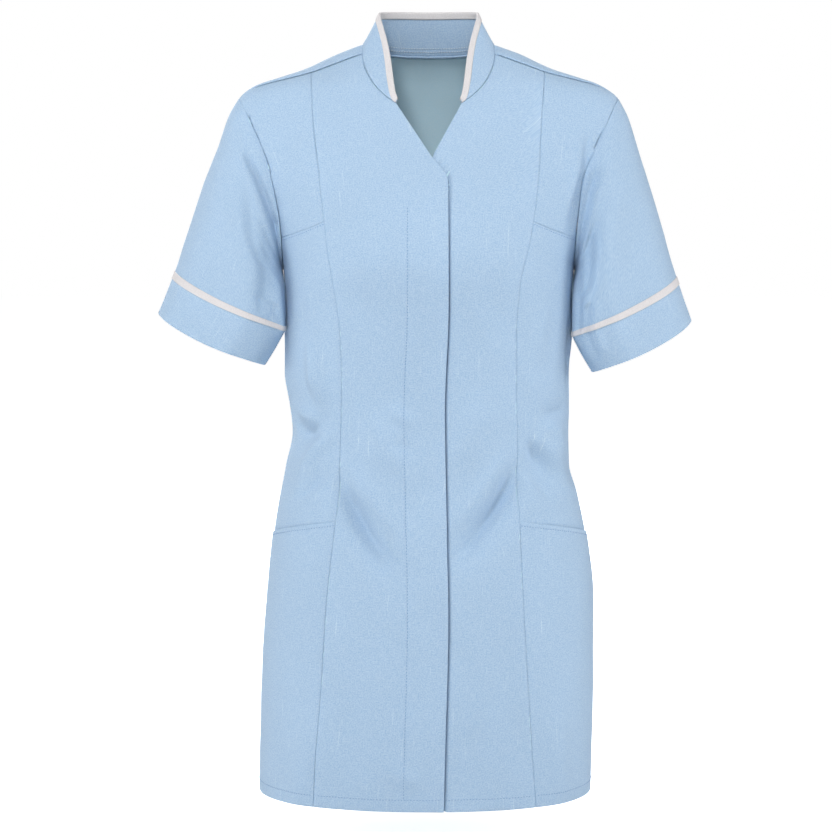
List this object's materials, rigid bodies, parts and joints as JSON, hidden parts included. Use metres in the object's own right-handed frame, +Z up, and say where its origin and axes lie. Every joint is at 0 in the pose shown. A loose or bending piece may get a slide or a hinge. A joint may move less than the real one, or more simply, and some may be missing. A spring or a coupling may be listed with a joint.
{
  "type": "short-sleeved tunic with stand collar",
  "caption": "Short-sleeved care tunic with a stand collar, V neck, hidden front closing, long shaped front seams, side pockets and pale bands on collar and sleeves.",
  "frame": {"origin": "between the shoulders, level with the tops of the shoulder ridges near the neck, in the plane of the side seams", "axes": "+Z up the garment from hem to collar, -Y out of its front, +X towards the wearer's left arm"},
  "size_m": [0.5559, 0.2684, 0.8102],
  "materials": {
    "cloth": "matt, finely woven sky blue",
    "band": "matt, finely woven off-white"
  },
  "bodies": {
    "root": {"centre_front_right": "cloth", "centre_front_left": "cloth", "upper_side_front_right": "cloth", "upper_side_front_left": "cloth", "side_front_right": "cloth", "side_front_left": "cloth", "pocket_right": "cloth", "pocket_left": "cloth", "back": "cloth", "collar": "cloth", "collar_binding": "band", "sleeve_right": "cloth", "sleeve_left": "cloth", "cuff_right": "cloth", "cuff_left": "cloth", "sleeve_piping_right": "band", "sleeve_piping_left": "band"}
  },
  "joints": []
}
